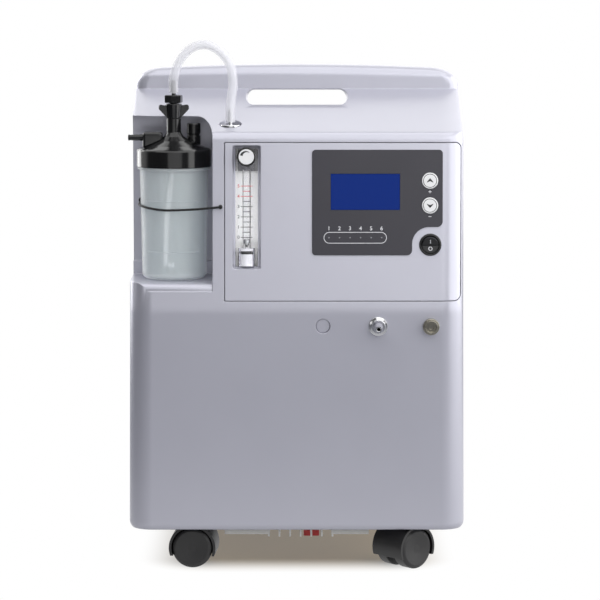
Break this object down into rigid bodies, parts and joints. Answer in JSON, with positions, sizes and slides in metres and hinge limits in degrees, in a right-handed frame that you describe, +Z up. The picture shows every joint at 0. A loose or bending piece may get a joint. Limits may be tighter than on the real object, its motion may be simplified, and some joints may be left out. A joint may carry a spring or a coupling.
{
  "type": "oxygen concentrator",
  "caption": "Floor-standing home oxygen concentrator on swivel casters, with a humidifier bottle in a front recess, flow meter, display panel and carrying handle.",
  "frame": {"origin": "on the floor under the middle of the object's box, the supply tube left out", "axes": "+Z up, -Y out of the front with the control panel, +X to the right seen from the front"},
  "size_m": [0.3558, 0.3548, 0.5591],
  "materials": {
    "housing_abs": "fine moulded texture",
    "panel_abs": "satin moulded",
    "overlay_print": "printed polycarbonate",
    "lcd": "blue display behind a clear window",
    "white_plastic": "moulded",
    "scale_card": "printed card",
    "black_gloss": "polished moulded",
    "black_nylon": "moulded",
    "caster_tread": "moulded nylon",
    "acrylic": "polished clear",
    "chrome_plate": "plated",
    "nickel_plate": "plated",
    "float_steel": "turned or zinc plated",
    "bottle_pp": "frosted translucent",
    "silicone": "translucent",
    "elastic": "elastic cord",
    "red_plastic": "moulded",
    "foam": "open-cell foam",
    "cast_aluminium": "cast or drawn",
    "mount_rubber": "moulded",
    "copper": "drawn tube",
    "circuit_board": "solder mask"
  },
  "bodies": {
    "chassis": {"base_pan": "housing_abs", "bottle_strap": "elastic", "capacitor": "white_plastic", "compressor": "cast_aluminium", "control_board": "circuit_board", "control_panel": "panel_abs", "cooling_coil": "copper", "dip_tube": "white_plastic", "display_board": "circuit_board", "exhaust_grille": "housing_abs", "fan_deck": "float_steel", "fan_frame": "black_nylon", "flowmeter_body": "acrylic", "flowmeter_inlet": "chrome_plate", "flowmeter_scale": "scale_card", "front_shell": "housing_abs", "humidifier_bottle": "bottle_pp", "humidifier_lid": "black_gloss", "humidifier_outlet": "black_gloss", "humidifier_tube": "silicone", "indicator_strip": "white_plastic", "inlet_adapter": "black_gloss", "intake_filter": "foam", "intake_silencer": "black_nylon", "lcd_module": "lcd", "mains_inlet": "black_nylon", "nebulizer_port": "nickel_plate", "oxygen_outlet": "chrome_plate", "panel_overlay": "overlay_print", "port_plug": "housing_abs", "product_tank": "white_plastic", "rear_shell": "housing_abs", "relief_valve": "black_gloss", "rubber_mount_front_left": "mount_rubber", "rubber_mount_front_right": "mount_rubber", "rubber_mount_rear_left": "mount_rubber", "rubber_mount_rear_right": "mount_rubber", "sieve_bed_left": "cast_aluminium", "sieve_bed_right": "cast_aluminium", "supply_port": "chrome_plate", "switch_housing": "black_gloss", "transformer": "float_steel", "valve_block": "cast_aluminium"},
    "swivel_front_left": {"caster_front_left": "black_nylon"},
    "wheels_front_left": {"caster_wheels_front_left": "caster_tread"},
    "swivel_front_right": {"caster_front_right": "black_nylon"},
    "wheels_front_right": {"caster_wheels_front_right": "caster_tread"},
    "swivel_rear_left": {"caster_rear_left": "black_nylon"},
    "wheels_rear_left": {"caster_wheels_rear_left": "caster_tread"},
    "swivel_rear_right": {"caster_rear_right": "black_nylon"},
    "wheels_rear_right": {"caster_wheels_rear_right": "caster_tread"},
    "power_switch": {"power_rocker": "black_gloss"},
    "up_key": {"button_up": "white_plastic"},
    "down_key": {"button_down": "white_plastic"},
    "flow_knob": {"flowmeter_knob": "black_gloss"},
    "flow_float": {"flowmeter_float": "float_steel"},
    "humidifier_nut": {"wing_nut": "black_gloss"},
    "fan": {"fan_rotor": "black_nylon"},
    "transport_lock": {"transport_knob": "red_plastic"},
    "intake_cover": {"filter_cover": "panel_abs"}
  },
  "joints": [
    {"name": "swivel_front_left", "type": "hinge", "parent": "chassis", "child": "swivel_front_left", "pos_m": [-0.126, -0.1055, 0], "axis": [0, 0, 1], "continuous": true},
    {"name": "roll_front_left", "type": "hinge", "parent": "swivel_front_left", "child": "wheels_front_left", "pos_m": [-0.11004, -0.10662, 0.02117], "axis": [-0.0698, -0.9976, 0], "continuous": true},
    {"name": "swivel_front_right", "type": "hinge", "parent": "chassis", "child": "swivel_front_right", "pos_m": [0.126, -0.1055, 0], "axis": [0, 0, 1], "continuous": true},
    {"name": "roll_front_right", "type": "hinge", "parent": "swivel_front_right", "child": "wheels_front_right", "pos_m": [0.11411, -0.11621, 0.02117], "axis": [-0.6691, 0.7431, 0], "continuous": true},
    {"name": "swivel_rear_left", "type": "hinge", "parent": "chassis", "child": "swivel_rear_left", "pos_m": [-0.126, 0.1265, 0], "axis": [0, 0, 1], "continuous": true},
    {"name": "roll_rear_left", "type": "hinge", "parent": "swivel_rear_left", "child": "wheels_rear_left", "pos_m": [-0.11752, 0.14007, 0.02117], "axis": [0.848, -0.5299, 0], "continuous": true},
    {"name": "swivel_rear_right", "type": "hinge", "parent": "chassis", "child": "swivel_rear_right", "pos_m": [0.126, 0.1265, 0], "axis": [0, 0, 1], "continuous": true},
    {"name": "roll_rear_right", "type": "hinge", "parent": "swivel_rear_right", "child": "wheels_rear_right", "pos_m": [0.1155, 0.13858, 0.02117], "axis": [0.7547, 0.6561, 0], "continuous": true},
    {"name": "rocker_tilt", "type": "hinge", "parent": "chassis", "child": "power_switch", "pos_m": [0.1396, -0.14955, 0.34844], "axis": [1, 0, 0], "range_deg": [-22, 0]},
    {"name": "button_up_press", "type": "slide", "parent": "chassis", "child": "up_key", "axis": [0, 0.9962, -0.0866], "range_m": [0, 0.0008], "stiffness_N_per_m": 400},
    {"name": "button_down_press", "type": "slide", "parent": "chassis", "child": "down_key", "axis": [0, 0.9962, -0.0866], "range_m": [0, 0.0008], "stiffness_N_per_m": 400},
    {"name": "flow_knob_turn", "type": "hinge", "parent": "chassis", "child": "flow_knob", "pos_m": [-0.0523, -0.14361, 0.43987], "axis": [0, -0.9962, 0.0866], "range_deg": [0, 1080]},
    {"name": "flow_float_rise", "type": "slide", "parent": "chassis", "child": "flow_float", "axis": [0, 0.0866, 0.9962], "range_m": [0, 0.058]},
    {"name": "wing_nut_turn", "type": "hinge", "parent": "chassis", "child": "humidifier_nut", "pos_m": [-0.1297, -0.1035, 0.4778], "axis": [0, 0, 1], "range_deg": [0, 1080]},
    {"name": "fan_spin", "type": "hinge", "parent": "chassis", "child": "fan", "pos_m": [-0.09, 0.0345, 0.2116], "axis": [0, 0, 1], "continuous": true},
    {"name": "transport_knob_turn", "type": "hinge", "parent": "chassis", "child": "transport_lock", "pos_m": [0.0158, -0.084, 0.0359], "axis": [0, 0, 1], "range_deg": [0, 720]},
    {"name": "filter_cover_pull", "type": "slide", "parent": "chassis", "child": "intake_cover", "axis": [0, 1, 0], "range_m": [0, 0.06]}
  ]
}
